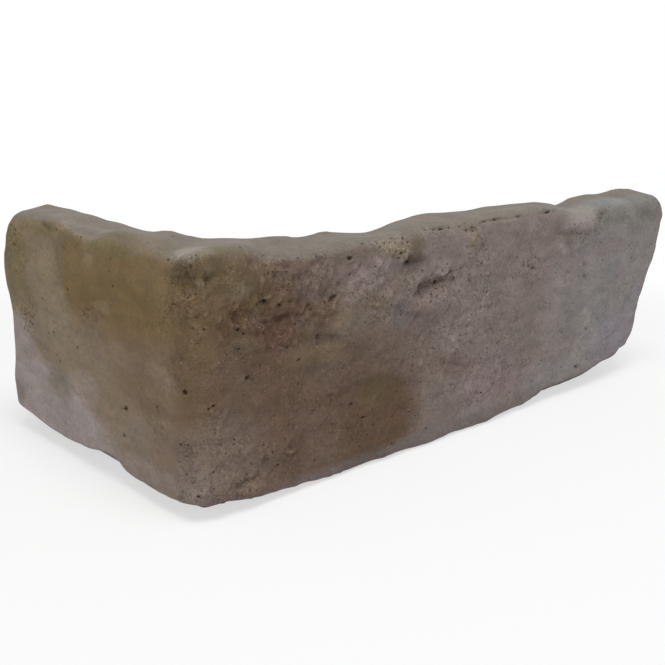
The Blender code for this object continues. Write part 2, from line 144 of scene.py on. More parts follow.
# Crisp hollows (positive) and bosses (negative) left by the brick, in the same order, with the
# depth last. The broad ones are in the CAD solid.
FORMS = (
    (LONG, 5.0, 59.0, 3.5, 1.2, 0, 0.6),
    (LONG, 10.2, 55.6, 1.6, 1.4, 0, -0.35),
    (LONG, 14.6, 55.0, 1.9, 1.3, 0, -0.35),
    (LONG, 18.3, 51.5, 1.2, 3.6, 0, 0.35),
    (LONG, 12.3, 48.6, 0.9, 2.6, 0, 0.25),
    (LONG, 20.5, 51.0, 2.6, 0.7, 8, 0.5),
    (LONG, 25.0, 50.2, 1.8, 0.8, 10, 0.5),
    (LONG, 25.0, 46.6, 6.0, 0.7, 3, 0.7),
    (LONG, 33.5, 47.4, 2.6, 0.7, 35, 0.6),
    (LONG, 22.0, 54.4, 2.4, 1.2, -10, -0.25),
    (LONG, 31.0, 53.4, 2.6, 1.4, 15, -0.3),
    (LONG, 36.5, 52.0, 1.4, 2.2, 20, -0.3),
    (LONG, 27.0, 42.8, 2.0, 2.6, -20, -0.25),
    (LONG, 31.5, 43.6, 1.8, 1.8, 0, -0.25),
    (LONG, 37.3, 41.8, 2.4, 1.2, -10, 0.25),
    (LONG, 40.6, 39.5, 3.0, 1.0, -12, 0.2),
    (LONG, 40.5, 43.6, 1.8, 1.2, 0, -0.3),
    (LONG, 45.6, 44.6, 2.0, 2.2, -15, -0.35),
    (LONG, 47.6, 42.0, 1.2, 1.8, -15, -0.3),
    (LONG, 42.5, 49.4, 2.6, 0.8, 22, 0.6),
    (LONG, 42.0, 36.8, 5.0, 1.2, -8, -0.35),
    (LONG, 48.0, 50.4, 2.4, 1.4, 15, -0.3),
    (LONG, 53.0, 48.4, 2.4, 1.4, 10, -0.3),
    (LONG, 55.5, 57.2, 2.6, 1.6, -10, -0.35),
    (LONG, 60.0, 56.0, 2.2, 1.4, 0, -0.3),
    (LONG, 50.0, 59.2, 3.4, 0.8, 10, 0.5),
    (LONG, 38.0, 59.0, 3.0, 0.9, 5, 0.4),
    (LONG, 26.0, 59.2, 4.0, 0.7, -3, 0.4),
    (LONG, 68.0, 57.8, 4.5, 0.8, -18, 0.6),
    (LONG, 71.8, 55.0, 3.3, 1.1, -5, 0.7),
    (LONG, 71.0, 57.0, 3.2, 0.9, -14, -0.4),
    (LONG, 62.0, 47.4, 2.6, 1.4, 10, -0.3),
    (LONG, 67.0, 49.0, 2.2, 1.6, 10, -0.35),
    (LONG, 60.5, 50.0, 3.0, 0.7, -10, 0.4),
    (LONG, 57.5, 44.6, 2.2, 0.7, -15, 0.4),
    (LONG, 77.2, 47.4, 1.6, 1.6, 0, 0.9),
    (LONG, 83.0, 48.2, 3.0, 1.1, 15, 0.7),
    (LONG, 88.0, 50.2, 4.6, 0.7, 13, 0.6),
    (LONG, 80.3, 49.0, 1.6, 1.2, 10, -0.5),
    (LONG, 83.5, 44.8, 3.6, 1.4, 5, -0.35),
    (LONG, 90.0, 45.6, 2.6, 1.6, 0, -0.3),
    (LONG, 70.2, 31.5, 1.0, 4.4, 0, 0.4),
    (LONG, 74.5, 39.0, 5.0, 1.0, 35, 0.5),
    (LONG, 90.0, 30.2, 3.0, 0.8, -35, -0.35),
    (LONG, 94.0, 27.2, 2.6, 0.8, -35, -0.35),
    (LONG, 92.5, 22.5, 5.0, 0.8, -20, 0.4),
    (LONG, 97.5, 58.8, 2.8, 1.4, 20, -0.4),
    (LONG, 97.0, 61.8, 4.6, 0.8, 0, 0.35),
    (LONG, 86.0, 63.2, 9.0, 0.5, 0, 0.8),
    (LONG, 113.0, 63.6, 12.0, 0.5, 0, 0.6),
    (LONG, 138.5, 64.2, 6.0, 0.8, 3, 1.2),
    (LONG, 152.5, 55.7, 7.6, 0.6, -4, 0.3),
    (LONG, 150.0, 53.2, 4.6, 0.5, -8, 0.15),
    (LONG, 146.5, 49.5, 1.4, 4.0, 0, -0.25),
    (LONG, 151.0, 59.6, 3.0, 1.2, 5, -0.3),
    (LONG, 159.0, 60.6, 3.6, 1.2, 5, -0.3),
    (LONG, 161.0, 44.5, 2.0, 0.8, -15, 0.6),
    (LONG, 161.8, 40.3, 2.8, 0.8, -30, 0.7),
    (LONG, 173.5, 34.0, 2.6, 1.2, -15, 0.35),
    (LONG, 168.0, 60.4, 4.0, 2.0, 20, 0.6),
    (LONG, 164.5, 25.0, 1.2, 2.6, -20, -0.35),
    (LONG, 160.0, 16.5, 1.3, 4.5, -25, -0.4),
    (LONG, 159.8, 8.8, 2.8, 0.9, -8, 0.8),
    (LONG, 61.0, 22.0, 5.0, 3.5, 0, 0.3),
    (LONG, 8.5, 44.3, 1.2, 1.2, 0, -0.5),
    (LONG, 22.5, 13.4, 1.6, 1.4, 0, -0.6),
    (LONG, 29.4, 11.5, 1.2, 0.9, 0, -0.7),
    (LONG, 30.2, 10.6, 1.2, 0.5, 0, 0.5),
    (LONG, 15.0, 7.6, 5.5, 0.8, 6, 0.7),
    (LONG, 20.6, 11.5, 0.8, 3.0, -15, 0.5),
    (LONG, 5.6, 10.0, 0.9, 3.0, 0, 0.6),
    (LONG, 3.0, 12.0, 2.2, 2.6, 0, -0.4),
    (LONG, 108.0, 20.5, 14.0, 0.7, 3, 0.3),
    (LONG, 105.0, 9.5, 4.5, 1.4, 40, -0.4),
    (SHORT, 79.0, 37.3, 4.0, 1.0, -10, 0.5),
    (SHORT, 76.6, 35.0, 0.9, 2.6, 0, 0.4),
    (SHORT, 83.0, 34.5, 0.9, 2.4, 20, 0.4),
    (SHORT, 57.6, 42.6, 1.2, 1.4, 0, -0.4),
    (SHORT, 88.3, 49.0, 1.2, 1.0, 0, -0.5),
    (SHORT, 43.0, 30.8, 2.0, 0.8, 10, -0.3),
    (SHORT, 44.5, 56.5, 2.6, 1.7, -20, -0.35),
    (SHORT, 40.0, 46.0, 2.8, 1.3, 0, -0.3),
    (SHORT, 62.0, 57.5, 1.2, 3.0, -15, 0.4),
    (SHORT, 68.0, 63.2, 4.0, 0.7, 8, 0.5),
    (SHORT, 31.5, 66.0, 4.5, 0.6, 5, 0.5),
    (SHORT, 47.0, 42.8, 4.5, 0.7, 25, 0.4),
    (SHORT, 15.6, 24.0, 1.2, 3.4, -15, 0.3),
    (SHORT, 2.5, 60.0, 2.6, 2.4, 0, 0.5),
    (SHORT, 57.2, 49.0, 0.9, 5.0, -25, 0.3),
    (SHORT, 4.2, 14.0, 0.9, 3.0, 0, 0.5),
    (SHORT, 75.0, 29.6, 8.0, 0.8, 8, 0.3),
    (SHORT, 88.5, 13.5, 2.6, 2.4, 0, 0.3),
)

# Air pits, in the same order. The last number is a pit's share of the full depth and of the painted shade in
# it.
AIR_PITS = (
    (LONG, 16.0, 33.5, 0.8, 0.5, 0, 0.8), (LONG, 17.6, 32.8, 0.5, 0.3, 0, 0.7),
    (LONG, 5.6, 29.0, 0.6, 0.4, 0, 1.0), (LONG, 4.4, 28.5, 0.4, 0.4, 0, 0.8),
    (LONG, 3.8, 47.2, 0.4, 0.3, 0, 1.0), (LONG, 1.6, 47.6, 0.3, 0.3, 0, 0.9),
    (LONG, 31.0, 22.2, 0.4, 0.3, 0, 0.8), (LONG, 42.5, 22.4, 0.4, 0.3, 0, 0.8),
    (LONG, 50.8, 19.2, 0.7, 0.5, -10, 1.0), (LONG, 36.0, 20.2, 0.3, 0.3, 0, 0.9),
    (LONG, 55.0, 14.7, 1.0, 0.3, 0, 1.0), (LONG, 66.0, 12.5, 0.5, 0.3, 0, 0.9),
    (LONG, 66.0, 4.4, 0.5, 0.3, 0, 0.9), (LONG, 31.2, 35.4, 0.8, 0.3, 12, 0.9),
    (LONG, 12.8, 45.8, 0.7, 0.5, 0, 0.9), (LONG, 14.2, 44.6, 0.5, 0.5, 0, 0.9),
    (LONG, 20.8, 51.4, 0.5, 0.5, 0, 0.9), (LONG, 25.2, 50.1, 0.5, 0.5, 0, 0.9),
    (LONG, 28.5, 50.4, 0.5, 0.3, 0, 0.7), (LONG, 35.0, 47.4, 0.6, 0.3, 25, 0.9),
    (LONG, 36.8, 41.6, 0.7, 0.5, 0, 0.6), (LONG, 38.8, 39.4, 0.7, 0.5, 0, 0.5),
    (LONG, 41.8, 39.2, 0.7, 0.3, 0, 0.5), (LONG, 30.4, 39.0, 0.4, 0.3, 0, 0.8),
    (LONG, 21.0, 43.6, 0.5, 0.7, 0, 0.7), (LONG, 43.0, 49.6, 1.1, 0.3, 20, 0.8),
    (LONG, 26.4, 55.8, 0.4, 0.4, 0, 0.6), (LONG, 29.6, 56.4, 0.5, 0.3, 0, 0.7),
    (LONG, 39.0, 58.4, 0.5, 0.5, 0, 0.7), (LONG, 48.6, 58.6, 0.7, 0.5, 0, 0.8),
    (LONG, 55.8, 41.0, 0.9, 0.3, 0, 0.6), (LONG, 58.0, 44.4, 0.5, 0.3, 0, 0.8),
    (LONG, 62.4, 42.8, 0.5, 0.3, 0, 0.7), (LONG, 55.8, 36.4, 0.4, 0.3, 0, 0.8),
    (LONG, 43.0, 61.9, 0.5, 0.3, 0, 0.9), (LONG, 49.5, 61.9, 0.5, 0.3, 0, 0.9),
    (LONG, 52.5, 61.9, 0.4, 0.3, 0, 0.9), (LONG, 56.5, 61.8, 0.8, 0.3, 0, 0.9),
    (LONG, 63.0, 60.6, 0.4, 0.3, 0, 0.9), (LONG, 65.5, 58.9, 0.5, 0.4, 0, 0.9),
    (LONG, 67.8, 58.2, 0.6, 0.4, -15, 0.9), (LONG, 70.5, 60.8, 0.4, 0.3, 0, 0.8),
    (LONG, 70.2, 55.0, 0.8, 0.5, 0, 1.0), (LONG, 72.6, 54.6, 1.0, 0.5, -5, 0.8),
    (LONG, 77.6, 47.3, 0.7, 0.8, 0, 1.0), (LONG, 83.4, 48.2, 1.0, 0.5, 22, 1.0),
    (LONG, 88.2, 50.3, 1.6, 0.3, 13, 0.9), (LONG, 84.0, 55.0, 0.3, 0.3, 0, 0.9),
    (LONG, 96.0, 55.0, 0.4, 0.3, 0, 0.8), (LONG, 95.6, 51.2, 0.5, 0.3, 0, 0.8),
    (LONG, 97.6, 50.8, 0.5, 0.3, 0, 0.8), (LONG, 99.0, 51.6, 0.3, 0.3, 0, 0.8),
    (LONG, 95.8, 62.0, 0.5, 0.3, 0, 0.8), (LONG, 98.4, 61.4, 0.5, 0.3, 0, 0.9),
    (LONG, 106.0, 42.5, 0.5, 0.4, 0, 1.0), (LONG, 101.0, 41.0, 0.3, 0.3, 0, 0.8),
    (LONG, 109.0, 43.5, 0.3, 0.3, 0, 0.8), (LONG, 113.0, 31.0, 0.3, 0.3, 0, 0.8),
    (LONG, 101.0, 30.5, 0.3, 0.3, 0, 0.9), (LONG, 110.0, 29.0, 0.4, 0.3, 0, 0.9),
    (LONG, 120.0, 51.5, 0.5, 0.3, 0, 0.9), (LONG, 112.0, 54.5, 0.3, 0.3, 0, 0.8),
    (LONG, 127.0, 48.0, 0.5, 0.4, 0, 0.7), (LONG, 129.2, 47.0, 0.8, 0.3, 0, 0.7),
    (LONG, 132.2, 48.8, 0.6, 0.3, 0, 0.9), (LONG, 130.4, 50.2, 0.5, 0.3, 0, 0.9),
    (LONG, 78.0, 20.0, 0.4, 0.3, 0, 0.9), (LONG, 77.0, 16.0, 0.3, 0.3, 0, 0.8),
    (LONG, 79.5, 28.0, 0.3, 0.9, 0, 0.8), (LONG, 88.0, 24.0, 0.5, 0.3, 0, 0.8),
    (LONG, 92.0, 16.5, 0.3, 0.3, 0, 0.8), (LONG, 98.0, 24.0, 0.3, 0.3, 0, 0.8),
    (LONG, 96.0, 18.5, 0.4, 0.3, 0, 0.8), (LONG, 105.0, 22.0, 0.5, 0.3, 0, 0.9),
    (LONG, 106.0, 18.5, 0.3, 0.3, 0, 0.8), (LONG, 126.0, 10.5, 0.4, 0.3, 0, 0.9),
    (LONG, 124.0, 6.5, 0.3, 0.3, 0, 0.8), (LONG, 86.0, 11.0, 0.3, 0.3, 0, 0.8),
    (LONG, 125.0, 31.0, 0.3, 0.3, 0, 0.8), (LONG, 129.0, 42.0, 0.5, 0.3, 0, 0.7),
    (LONG, 78.6, 63.4, 1.1, 0.45, 0, 1.0), (LONG, 82.0, 63.6, 1.0, 0.45, 0, 1.0),
    (LONG, 85.8, 63.2, 1.4, 0.45, 0, 1.0), (LONG, 90.0, 63.5, 0.9, 0.45, 0, 1.0),
    (LONG, 93.4, 63.1, 0.8, 0.45, 0, 1.0), (LONG, 104.6, 63.7, 1.5, 0.35, 0, 0.7),
    (LONG, 110.0, 63.8, 1.2, 0.35, 0, 0.7), (LONG, 121.5, 63.9, 1.4, 0.3, 0, 0.6),
    (LONG, 138.5, 64.3, 2.3, 0.45, 3, 1.0), (LONG, 161.0, 56.0, 0.5, 0.3, 0, 0.9),
    (LONG, 164.6, 55.6, 0.5, 0.3, 0, 0.9), (LONG, 168.0, 54.5, 0.5, 0.3, 0, 0.8),
    (LONG, 152.0, 55.8, 3.1, 0.4, -4, 0.4), (LONG, 149.0, 52.8, 0.6, 0.4, 0, 0.5),
    (LONG, 157.0, 51.0, 0.7, 0.3, 0, 0.5), (LONG, 147.6, 23.2, 0.5, 0.4, 0, 0.9),
    (LONG, 149.4, 22.6, 0.5, 0.4, 0, 0.9), (LONG, 164.2, 21.6, 0.6, 0.4, 0, 0.9),
    (LONG, 165.6, 10.6, 0.4, 0.3, 0, 0.9), (LONG, 160.0, 8.8, 1.1, 0.3, -8, 0.9),
    (LONG, 191.6, 43.5, 0.8, 0.3, 0, 0.9), (LONG, 147.5, 31.5, 0.3, 0.3, 0, 0.8),
    (LONG, 152.0, 30.0, 0.3, 0.3, 0, 0.8), (SHORT, 3.8, 32.6, 0.6, 0.45, 0, 1.0),
    (SHORT, 14.5, 26.5, 0.5, 0.4, 0, 1.0),
    (SHORT, 30.0, 21.8, 0.8, 0.6, -10, 1.0), (SHORT, 31.2, 21.3, 0.5, 0.3, 0, 0.9),
    (SHORT, 30.5, 14.5, 0.6, 0.4, -10, 1.0), (SHORT, 60.2, 22.8, 0.4, 0.5, 0, 0.9),
    (SHORT, 66.6, 22.3, 0.5, 0.3, 0, 0.9), (SHORT, 78.2, 34.0, 0.7, 0.4, 0, 1.0),
    (SHORT, 73.2, 15.0, 0.5, 0.3, 0, 0.9), (SHORT, 62.5, 37.9, 0.4, 0.3, 0, 1.0),
    (SHORT, 23.5, 22.0, 0.3, 0.3, 0, 0.9), (SHORT, 33.0, 59.2, 0.5, 0.3, 0, 0.8),
    (SHORT, 33.8, 56.0, 0.5, 0.3, 0, 0.8), (SHORT, 32.4, 52.6, 0.5, 0.4, 0, 0.7),
    (SHORT, 57.8, 58.6, 0.7, 0.4, 0, 0.7), (SHORT, 61.8, 62.8, 0.5, 0.3, -20, 0.8),
    (SHORT, 2.0, 7.0, 0.6, 0.4, 0, 1.0), (SHORT, 52.0, 65.9, 0.7, 0.3, 0, 0.9),
    (SHORT, 47.2, 66.6, 0.4, 0.3, 0, 0.8), (SHORT, 57.6, 66.6, 0.4, 0.3, 0, 0.7),
    (SHORT, 86.5, 56.0, 0.6, 0.3, 0, 1.0), (SHORT, 83.2, 59.1, 0.5, 0.3, 0, 1.0),
    (SHORT, 88.0, 61.0, 0.5, 0.3, 0, 1.0), (SHORT, 48.0, 10.0, 0.4, 0.3, 0, 0.6),
    (SHORT, 58.6, 10.4, 0.5, 0.3, 0, 0.8), (SHORT, 5.0, 66.0, 0.8, 0.6, 0, 1.0),
    (SHORT, 7.5, 64.8, 0.5, 0.4, 0, 0.9), (SHORT, 0.8, 63.4, 0.5, 0.3, 0, 0.9),
    (SHORT, 57.4, 47.6, 0.5, 0.3, 0, 0.9), (SHORT, 65.6, 32.8, 0.6, 0.3, -15, 0.7),
    (SHORT, 51.8, 33.0, 0.4, 0.4, 0, 0.8), (SHORT, 7.0, 52.6, 0.5, 0.3, 0, 0.8),
)
AIR_PIT_DEPTH = 0.6

# Where the skin is as open as a sponge, in the order of the coarse places
POROUS_PLACES = (
    (LONG, 65, 60.5, 8, 3.5, -12, 1.0),
    (LONG, 98, 60.5, 5, 3, 0, 0.7),
    (LONG, 60, 48, 6, 4, 0, 0.6),
    (LONG, 12, 49, 10, 4, 0, 0.4),
    (LONG, 22, 13.5, 4, 3, 0, 0.6),
    (LONG, 15, 7.5, 8, 2, 5, 0.8),
    (LONG, 129, 48, 8, 4, 0, 0.7),
    (LONG, 166, 58, 5, 4, 20, 0.7),
    (LONG, 160, 55.5, 7, 1.6, 0, 0.5),
    (LONG, 86, 30, 12, 9, 0, 0.5),
    (LONG, 82, 47, 14, 7, 0, 0.7),
    (LONG, 103, 17, 16, 8, 0, 0.4),
    (LONG, 1, 65, 5, 4, 0, 1.0),
    (SHORT, 5, 65, 6, 4, 0, 1.0),
    (SHORT, 2, 58, 5, 6, 0, 0.7),
    (SHORT, 80, 35, 7, 4.5, 0, 0.7),
    (SHORT, 3, 11, 4, 5, 0, 0.5),
    (SHORT, 86, 57, 5, 6, 0, 0.4),
)

# The unevenness of the coarse skin: rounded knobs of a few sizes, and the crumbs between them. Flow
# marks, where the mix slumped in the mould, lean the same way. A slow swell runs over all that was
# moulded, and the float left low ripples on the backs.
KNOB_LENGTHS = (5.2, 3.1, 1.9, 1.1)
KNOB_DEPTHS = (0.60, 0.64, 0.36, 0.14)
KNOB_STRETCH = 1.2
SLANT = 70
FLOW_LENGTH = 2.6
FLOW_STRETCH = 3.0
FLOW_DEPTH = 0.22
FLOW_PLACES = (
    (LONG, 34, 20, 46, 26, 0, 1.0),
    (LONG, 92, 28, 22, 22, 0, 0.8),
    (SHORT, 14, 16, 18, 16, 0, 0.6),
)
CRUMB_LENGTH = 2.8
CRUMB_DEPTH = 0.42
SWELL_LENGTH = 13.0
SWELL_DEPTH = 0.25
RIPPLE_LENGTH = 9.0
RIPPLE_SQUEEZE = 3.0
RIPPLE_DEPTH = 0.15
RIPPLE_MIDDLE = 0.7

# What the smoothing took off the skin, which it gets back as a whole
FULLNESS = 0.10

# Where a mark holds its full strength and where it ends, as shares of its size. The rims are ragged by
# a share of that size, in waves of one length.
PLACE_RIM = (0.5, 1.3)
FLOW_RIM = (0.5, 1.2)
PIT_RIM = (0.5, 1.2)
FORM_RIM = (0.2, 1.4)
RAGGED_SHARE = 0.35
RAGGED_LENGTH = 2.4

# How squarely the skin faces one way where it starts to belong to a side, and where it fully does
LEG_FACING = (0.2, 0.8)
BACK_FACING = (0.5, 0.9)
TOP_FACING = (0.5, 0.92)

# Perlin noise keeps well inside -1 to 1, so it is stretched by this much
NOISE_GAIN = 1.6


def soft_step(low, high, value):
    """0 below low, 1 above high and a soft rise between them."""
    share = np.clip((value - low) / (high - low), 0.0, 1.0)
    return share * share * (3.0 - 2.0 * share)


def lumps(spots, length, seed):
    """Smooth noise between about -1 and 1 at each spot, whose lumps are about one length apart."""
    shift = Vector((seed, seed, 0.0))
    values = [noise.noise(spot / length + shift, noise_basis="PERLIN_ORIGINAL") for spot in spots]
    return NOISE_GAIN * np.array(values)


def crumbs(spots, length):
    """0 in the middle of rounded crumbs of about one length, and up to about 1 in the cracks."""
    return np.array([noise.voronoi(spot / length)[0][0] for spot in spots])


def slanted(spot, stretch):
    """A spot turned and squeezed, so that noise on it has lumps that lean along the long face."""
    turned = Matrix.Rotation(math.radians(SLANT), 3, "Y") @ spot
    return Vector((turned.x / stretch, turned.y, turned.z))


class Survey:
    """Where each vertex of the skin lies on the two legs, and how squarely it faces out of each."""

    def __init__(self):
        self.spots = [from_corner(vertex.co) for vertex in skin.verts]
        self.normals = np.array([vertex.normal for vertex in skin.verts])
        x, y, self.height = np.array(self.spots).T
        self.along = {LONG: x, SHORT: y}
        self.facing = {
            LONG: soft_step(*LEG_FACING, -self.normals[:, 1]),
            SHORT: soft_step(*LEG_FACING, -self.normals[:, 0]),
        }
        self.ragged = RAGGED_SHARE * lumps(self.spots, RAGGED_LENGTH, seed=3.0)

    def reach(self, mark):
        """How far out each vertex lies on a mark: 0 at its middle, 1 on its rim and more outside."""
        leg, middle, level, half_length, half_height, slant, _ = mark
        across, up = self.along[leg] - middle, self.height - level
        cosine, sine = math.cos(math.radians(slant)), math.sin(math.radians(slant))
        level_part = (across * cosine + up * sine) / half_length
        upright_part = (up * cosine - across * sine) / half_height
        return np.hypot(level_part, upright_part) + self.ragged

    def marked(self, mark, middle, rim):
        """The share of a mark at each vertex: 1 as far out as its middle, and 0 from its rim."""
        return self.facing[mark[0]] * (1.0 - soft_step(middle, rim, self.reach(mark)))

    def strongest(self, marks, middle, rim):
        """The greatest amount that any of the marks has at each vertex."""
        return np.max([mark[-1] * self.marked(mark, middle, rim) for mark in marks], axis=0)


skin.normal_update()
survey = Survey()
rough_places = survey.strongest(COARSE_PLACES, *PLACE_RIM) > CLOSE_UP
wide_pits = [pit[:3] + (pit[3] + CELL, pit[4] + CELL) + pit[5:] for pit in AIR_PITS]
detailed = rough_places | (survey.strongest(wide_pits, 0.9, 1.0) > 0.0)
skin.verts.index_update()
close_up = [edge for edge in skin.edges if all(detailed[vertex.index] for vertex in edge.verts)]
bmesh.ops.subdivide_edges(skin, edges=close_up, cuts=1, use_grid_fill=True)
skin.normal_update()

survey = Survey()
plain = sum(share * survey.facing[leg] for leg, share in PLAIN_COARSENESS.items())
coarse = np.maximum(plain, survey.strongest(COARSE_PLACES, *PLACE_RIM))
porous = survey.strongest(POROUS_PLACES, *PLACE_RIM)
pits = survey.strongest(AIR_PITS, *PIT_RIM)
leaning = [slanted(spot, KNOB_STRETCH) for spot in survey.spots]
flowing = [slanted(spot, FLOW_STRETCH) for spot in survey.spots]
depths = SWELL_DEPTH * lumps(survey.spots, SWELL_LENGTH, seed=14.0) + AIR_PIT_DEPTH * pits - FULLNESS
depths += sum(form[-1] * survey.marked(form, *FORM_RIM) for form in FORMS)
for length, knob_depth in zip(KNOB_LENGTHS, KNOB_DEPTHS):
    depths += coarse * knob_depth * lumps(leaning, length, seed=length)
depths += coarse * CRUMB_DEPTH * (crumbs(leaning, CRUMB_LENGTH) - 0.5)
flow_marks = FLOW_DEPTH * lumps(flowing, FLOW_LENGTH, seed=25.0)
depths += flow_marks * survey.strongest(FLOW_PLACES, *FLOW_RIM)
back = soft_step(*BACK_FACING, np.max(survey.normals[:, :2], axis=1))
back *= np.array([is_back(vertex) for vertex in skin.verts])
rippled = [Vector((spot.x + spot.y, RIPPLE_SQUEEZE * spot.z, 0.0)) for spot in survey.spots]
ripples = RIPPLE_DEPTH * (RIPPLE_MIDDLE + lumps(rippled, RIPPLE_LENGTH, seed=40.0))
depths = depths * (1.0 - back) + ripples * back

# A point lies in a hollow, painted darker as shade, where it is deeper than the skin round it, as far out as
# this many cells
CAVITY_REACH = 7
skin.verts.index_update()
ends = np.array([[vertex.index for vertex in edge.verts] for edge in skin.edges])
count = len(skin.verts)
neighbours = np.bincount(ends.ravel(), minlength=count)
around = depths
for _ in range(CAVITY_REACH):
    sums = np.bincount(ends[:, 0], around[ends[:, 1]], count)
    sums += np.bincount(ends[:, 1], around[ends[:, 0]], count)
    around = sums / neighbours
paint = {
    "coarse": coarse,
    "porous": porous,
    "pit": pits,
    "back": back,
    "top": soft_step(*TOP_FACING, survey.normals[:, 2]),
    "cavity": depths - around,
}
for name, values in paint.items():
    layer = skin.verts.layers.float.new(name)
    for vertex, value in zip(skin.verts, values):
        vertex[layer] = value
for vertex, depth in zip(skin.verts, depths):
    vertex.co -= vertex.normal * depth * MM
    vertex.co = np.clip(vertex.co, cad_low, cad_high)
bmesh.ops.triangulate(skin, faces=skin.faces)
skin.to_mesh(tile.data)
skin.free()
tile.data.shade_smooth()


# The pigment lies in streaks: its noise is stretched along the legs
STREAK = (0.6, 0.6, 1.3)


class Shade:
    """One output of a node in a material. Arithmetic on it adds Math nodes to that material."""

    def __init__(self, tree, socket=None):
        self.tree = tree
        self.socket = socket

    def node(self, kind, settings=None, inputs=None, output=0):
        """A new node: its settings first, then the values or links of its sockets."""
        node = self.tree.nodes.new(kind)
        for name, value in (settings or {}).items():
            setattr(node, name, value)
        for name, value in (inputs or {}).items():
            if isinstance(value, Shade):
                self.tree.links.new(value.socket, node.inputs[name])
            else:
                node.inputs[name].default_value = value
        return Shade(self.tree, node.outputs[output])

    def math(self, operation, left, right):
        return self.node("ShaderNodeMath", {"operation": operation}, {0: left, 1: right})

    def __add__(self, other):
        return self.math("ADD", self, other)

    def __radd__(self, other):
        return self.math("ADD", other, self)

    def __sub__(self, other):
        return self.math("SUBTRACT", self, other)

    def __rsub__(self, other):
        return self.math("SUBTRACT", other, self)

    def __mul__(self, other):
        return self.math("MULTIPLY", self, other)

    def __rmul__(self, other):
        return self.math("MULTIPLY", other, self)

    def larger(self, other):
        return self.math("MAXIMUM", self, other)

    def smooth(self, low, high):
        """0 at low, 1 at high and a soft rise between them."""
        return self.node(
            "ShaderNodeMapRange",
            {"interpolation_type": "SMOOTHSTEP", "clamp": False},
            {"Value": self, "From Min": low, "From Max": high},
        )

    def mixed(self, other, amount):
        """This colour turned towards another by an amount."""
        return self.node(
            "ShaderNodeMix", {"data_type": "RGBA"}, {0: amount, 6: self, 7: other}, output=2
        )

    def moved(self, other):
        return self.node("ShaderNodeVectorMath", {"operation": "ADD"}, {0: self, 1: other})

    def stretched(self, factor):
        return self.node("ShaderNodeVectorMath", {"operation": "MULTIPLY"}, {0: self, 1: factor})

    def grain(self, length, detail=2.0, roughness=0.5, output=0):
        """Noise whose patches are about one length in millimetres across, from about 0.3 to 0.7."""
        return self.node(
            "ShaderNodeTexNoise",
            {},
            {"Vector": self, "Scale": 1.0 / (length * MM), "Detail": detail, "Roughness": roughness},
            output,
        )

    def wander(self, length, reach):
        """This place moved about by noise, up to half a reach in millimetres each way."""
        waves = self.stretched(STREAK).grain(length, detail=3.0, roughness=0.6, output=1)
        push = waves.moved((-0.5, -0.5, -0.5)).stretched((reach * MM, reach * MM, reach * MM))
        return self.moved(push)

    def dots(self, spacing, share, radius):
        """Round dots in a share of the cells of a random pattern: 1 in a dot and 0 outside."""
        cells = {"Vector": self, "Scale": 1.0 / (spacing * MM), "Randomness": 1.0}
        distance = self.node("ShaderNodeTexVoronoi", {}, cells)
        luck = self.node("ShaderNodeTexVoronoi", {}, cells, output=1)
        luck = luck.node("ShaderNodeSeparateColor", {}, {0: luck})
        size = luck.node(
            "ShaderNodeMapRange",
            {},
            {"Value": luck, "From Min": 1.0 - share, "From Max": 1.0, "To Max": radius / spacing},
        )
        return (size - distance).smooth(0.0, 0.35 * radius / spacing)


def pigment(red, green, blue):
    """A colour given as 0 to 255 display values, in the renderer's linear values."""
    values = [value / 255.0 for value in (red, green, blue)]
    return tuple(
        value / 12.92 if value <= 0.04045 else ((value + 0.055) / 1.055) ** 2.4 for value in values
    ) + (1.0,)


